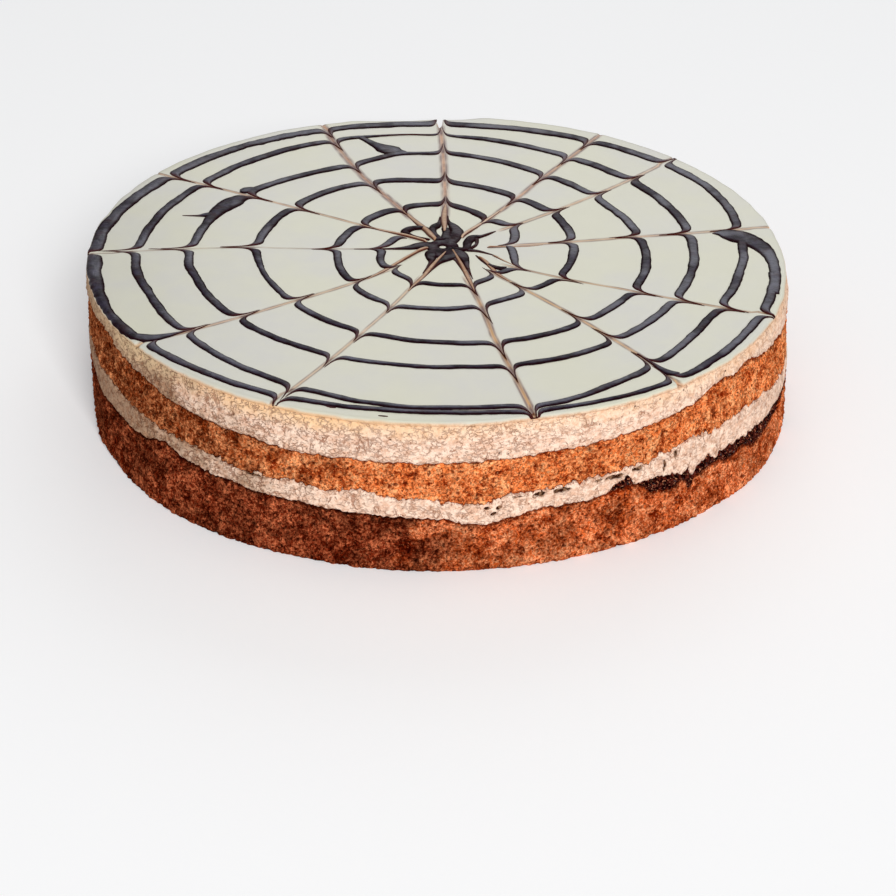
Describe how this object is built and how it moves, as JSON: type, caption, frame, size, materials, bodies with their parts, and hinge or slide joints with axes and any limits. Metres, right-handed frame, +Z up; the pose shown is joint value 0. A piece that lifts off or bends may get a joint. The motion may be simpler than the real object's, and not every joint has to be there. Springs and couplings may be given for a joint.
{
  "type": "chocolate fudge cake",
  "caption": "Uncut round chocolate fudge cake: brown sponge layers with cream and fudge between them, under pale icing feathered with a dark chocolate web. Stands on its flat base.",
  "frame": {"origin": "middle of the flat base that the cake stands on", "axes": "+Z up out of the iced top, -Y towards the side that the picture shows"},
  "size_m": [0.2655, 0.2671, 0.0547],
  "materials": {
    "lower_sponge": "dark brown open sponge crumb",
    "upper_sponge": "orange brown open sponge crumb",
    "fudge": "glossy dark chocolate fudge",
    "cream": "pale beige spread cream",
    "icing": "smooth pale icing with glossy dark chocolate drizzle"
  },
  "bodies": {
    "root": {"sponge_bottom": "lower_sponge", "fudge_filling": "fudge", "cream_middle": "cream", "sponge_top": "upper_sponge", "cream_top": "cream", "icing": "icing"}
  },
  "joints": []
}
